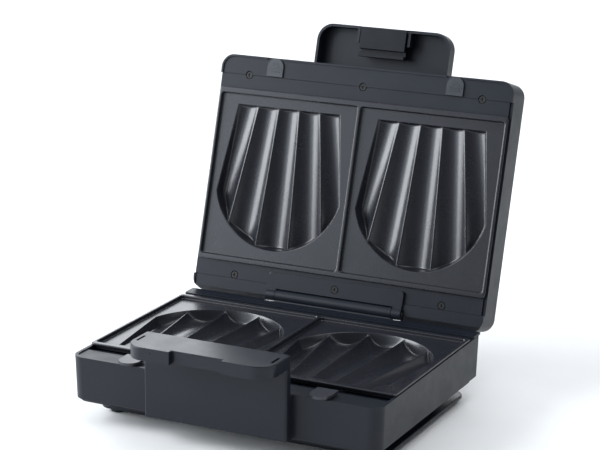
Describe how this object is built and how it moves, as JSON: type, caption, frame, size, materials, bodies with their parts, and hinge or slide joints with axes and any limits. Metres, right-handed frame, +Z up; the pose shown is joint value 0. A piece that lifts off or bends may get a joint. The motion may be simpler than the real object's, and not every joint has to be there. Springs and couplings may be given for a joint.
{
  "type": "snack maker",
  "caption": "Electric hinged snack maker with removable non-stick shell-cavity plates, a latch on the lid's handle and a lead-wrap base.",
  "frame": {"origin": "on the surface it stands on, at the bottom centre of the open machine's bounding box", "axes": "+Z up, +X along the hinge to the user's right, +Y away from the user, towards the hinge"},
  "size_m": [0.263, 0.3398, 0.2723],
  "materials": {
    "casing": "fine-grained matte dark blue-grey moulding",
    "grip": "smooth satin dark moulding",
    "latch": "smooth satin dark moulding",
    "tab": "smooth satin dark moulding",
    "nonstick": "dark grey satin non-stick coating over cast aluminium",
    "reflector": "bright rolled sheet",
    "element": "dull steel tube",
    "zinc_steel": "zinc-plated steel",
    "black_steel": "blackened steel screws",
    "spring_steel": "spring steel strip",
    "rubber": "soft black rubber",
    "terminal": "ivory insulating moulding",
    "red_lens": "red lens",
    "green_lens": "green lens"
  },
  "bodies": {
    "base": {"base_housing": "casing", "bottom_cover": "casing", "cord_wrap_plate": "casing", "rubber_feet": "rubber", "base_screws": "zinc_steel", "handle_post": "casing", "lower_grip": "grip", "grip_screws": "zinc_steel", "post_screws": "zinc_steel", "hinge_barrel": "casing", "hinge_pins": "zinc_steel", "cord_gland": "rubber", "terminal_block": "terminal", "lower_reflector": "reflector", "lower_element": "element", "lower_element_clips": "zinc_steel", "lower_thermostat": "element", "thermal_fuse": "terminal", "lower_catch_springs": "spring_steel"},
    "lid": {"lid_housing": "casing", "lid_frame": "casing", "hinge_bracket": "casing", "lid_screws": "black_steel", "upper_reflector": "reflector", "upper_element": "element", "upper_element_clips": "zinc_steel", "upper_catch_springs": "spring_steel", "upper_handle": "casing", "handle_screws": "zinc_steel", "latch_pin": "zinc_steel", "power_lamp": "red_lens", "ready_lamp": "green_lens"},
    "lower_plate": {"lower_plate": "nonstick"},
    "upper_plate": {"upper_plate": "nonstick"},
    "latch_clip": {"latch_clip": "latch"},
    "lower_release_left": {"lower_release_left": "tab"},
    "lower_release_right": {"lower_release_right": "tab"},
    "upper_release_left": {"upper_release_left": "tab"},
    "upper_release_right": {"upper_release_right": "tab"}
  },
  "joints": [
    {"name": "lid_hinge", "type": "hinge", "parent": "base", "child": "lid", "pos_m": [0, 0.06506, 0.05794], "axis": [1, 0, 0], "range_deg": [0, 106.75]},
    {"name": "latch_hinge", "type": "hinge", "parent": "lid", "child": "latch_clip", "pos_m": [0, 0.16107, 0.26917], "axis": [-1, 0, 0], "range_deg": [0, 105]},
    {"name": "lower_plate_lift", "type": "slide", "parent": "base", "child": "lower_plate", "axis": [0, 0, -1], "range_m": [-0.025, 0], "deforming": ["lower_catch_springs"]},
    {"name": "upper_plate_lift", "type": "slide", "parent": "lid", "child": "upper_plate", "axis": [0, 0.9576, -0.2882], "range_m": [-0.025, 0], "deforming": ["upper_catch_springs"]},
    {"name": "lower_release_left_slide", "type": "slide", "parent": "base", "child": "lower_release_left", "axis": [0, -1, 0], "range_m": [0, 0.003], "stiffness_N_per_m": 400, "deforming": ["lower_catch_springs"]},
    {"name": "lower_release_right_slide", "type": "slide", "parent": "base", "child": "lower_release_right", "axis": [0, -1, 0], "range_m": [0, 0.003], "stiffness_N_per_m": 400, "deforming": ["lower_catch_springs"]},
    {"name": "upper_release_left_slide", "type": "slide", "parent": "lid", "child": "upper_release_left", "axis": [0, 0.2882, 0.9576], "range_m": [0, 0.003], "stiffness_N_per_m": 400, "deforming": ["upper_catch_springs"]},
    {"name": "upper_release_right_slide", "type": "slide", "parent": "lid", "child": "upper_release_right", "axis": [0, 0.2882, 0.9576], "range_m": [0, 0.003], "stiffness_N_per_m": 400, "deforming": ["upper_catch_springs"]}
  ]
}
